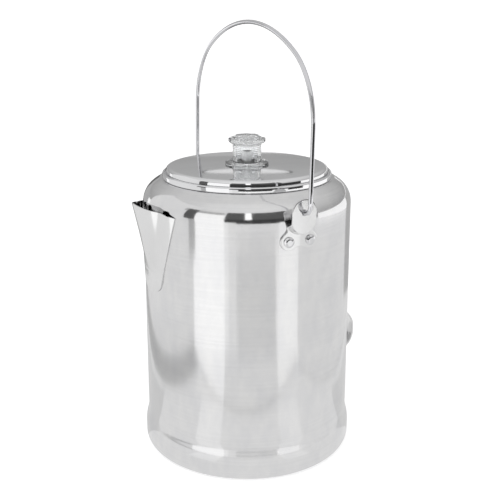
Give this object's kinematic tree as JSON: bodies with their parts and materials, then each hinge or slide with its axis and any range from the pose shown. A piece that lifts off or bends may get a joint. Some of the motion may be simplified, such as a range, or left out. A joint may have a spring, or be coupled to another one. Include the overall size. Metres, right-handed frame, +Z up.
{
  "type": "coffee percolator",
  "caption": "Tall aluminium camping percolator with a sheet spout, wire bail, clear lid knob, tilting loop, and a lift-out pump stem with a covered grounds basket.",
  "frame": {"origin": "centre of the pot's flat underside, on the pot's axis", "axes": "+Z up along the pot's axis; -X towards the spout; +X towards the tilting loop; the bail's two ears lie on the Y axis"},
  "size_m": [0.2154, 0.2142, 0.3713],
  "materials": {
    "pot_aluminium": "satin, brushed round the pot, polished on the shoulder",
    "lid_aluminium": "polished",
    "sheet_aluminium": "tumbled, soft sheen",
    "rivet_aluminium": "smooth, struck heads",
    "bail_wire": "bright plated wire",
    "clear_plastic": "clear, polished",
    "inner_aluminium": "plain mill finish"
  },
  "bodies": {
    "pot": {"pot_body": "pot_aluminium", "spout": "sheet_aluminium", "bail_ear_front": "sheet_aluminium", "bail_ear_rear": "sheet_aluminium", "ear_rivet_1": "rivet_aluminium", "ear_rivet_2": "rivet_aluminium", "ear_rivet_3": "rivet_aluminium", "ear_rivet_4": "rivet_aluminium", "tilt_handle": "sheet_aluminium", "tilt_rivet_1": "rivet_aluminium", "tilt_rivet_2": "rivet_aluminium"},
    "bail": {"bail_handle": "bail_wire"},
    "pump": {"pump_tube": "inner_aluminium", "pump_base": "inner_aluminium"},
    "basket": {"basket_cup": "inner_aluminium", "basket_sleeve": "inner_aluminium"},
    "cover": {"basket_cover": "inner_aluminium", "cover_collar": "inner_aluminium"},
    "lid_plate": {"lid": "lid_aluminium"},
    "knob": {"lid_knob": "clear_plastic"}
  },
  "joints": [
    {"name": "bail_swing", "type": "hinge", "parent": "pot", "child": "bail", "pos_m": [0, 0, 0.2307], "axis": [0, 1, 0], "range_deg": [-138, 136]},
    {"name": "pump_lift", "type": "slide", "parent": "pot", "child": "pump", "axis": [0, 0, 1], "range_m": [0, 0.085]},
    {"name": "basket_lift", "type": "slide", "parent": "pump", "child": "basket", "axis": [0, 0, 1], "range_m": [0, 0.085]},
    {"name": "cover_lift", "type": "slide", "parent": "basket", "child": "cover", "axis": [0, 0, 1], "range_m": [0, 0.085]},
    {"name": "lid_lift", "type": "slide", "parent": "cover", "child": "lid_plate", "axis": [0, 0, 1], "range_m": [0, 0.085]},
    {"name": "knob_twist", "type": "hinge", "parent": "lid_plate", "child": "knob", "pos_m": [0, 0, 0.2525], "axis": [0, 0, 1], "range_deg": [0, 90]}
  ]
}
